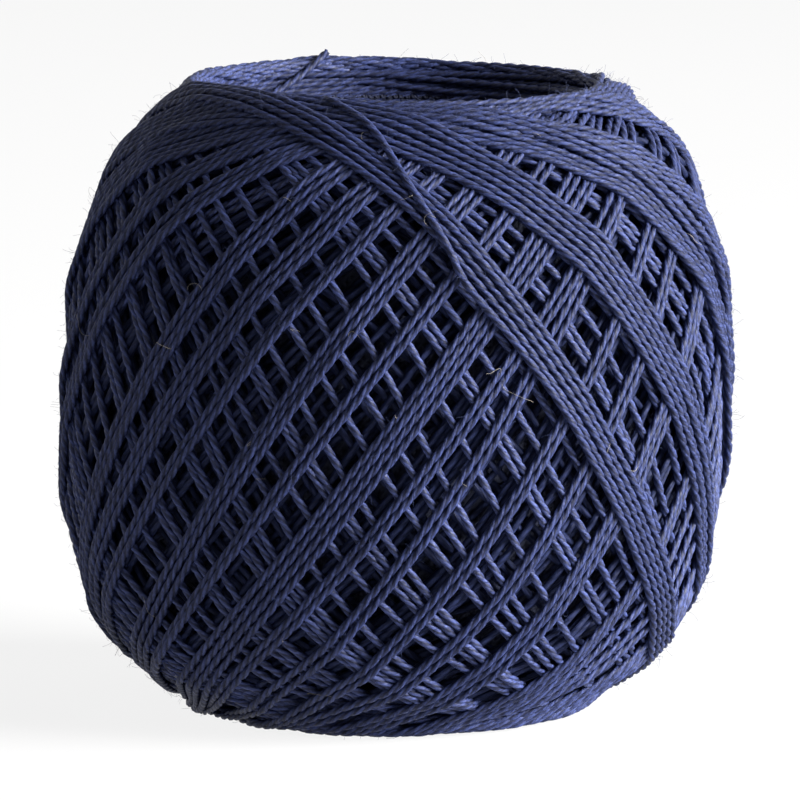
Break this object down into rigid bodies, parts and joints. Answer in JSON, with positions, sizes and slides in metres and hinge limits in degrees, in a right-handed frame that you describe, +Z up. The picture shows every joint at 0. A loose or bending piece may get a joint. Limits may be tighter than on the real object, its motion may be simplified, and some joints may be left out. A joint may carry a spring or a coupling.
{
  "type": "ball of thread",
  "caption": "Small barrel-shaped ball of tightly twisted cotton thread, cross-wound on a recessed card tube, with a funnel-shaped mouth at each end.",
  "frame": {"origin": "on the winding axis, at the flat foot that the ball stands on", "axes": "+Z up along the winding axis and the card tube's bore; -Y towards the side on which the closing band climbs from lower right to upper left"},
  "size_m": [0.0422, 0.0437, 0.0403],
  "materials": {
    "card": "matte, spiral-wound card",
    "thread": "navy mercerised cotton, softly lustrous"
  },
  "bodies": {
    "root": {"core_tube": "card", "inner_winding": "thread", "base_winding": "thread", "net_winding": "thread", "closing_band": "thread", "thread_tail": "thread"}
  },
  "joints": []
}
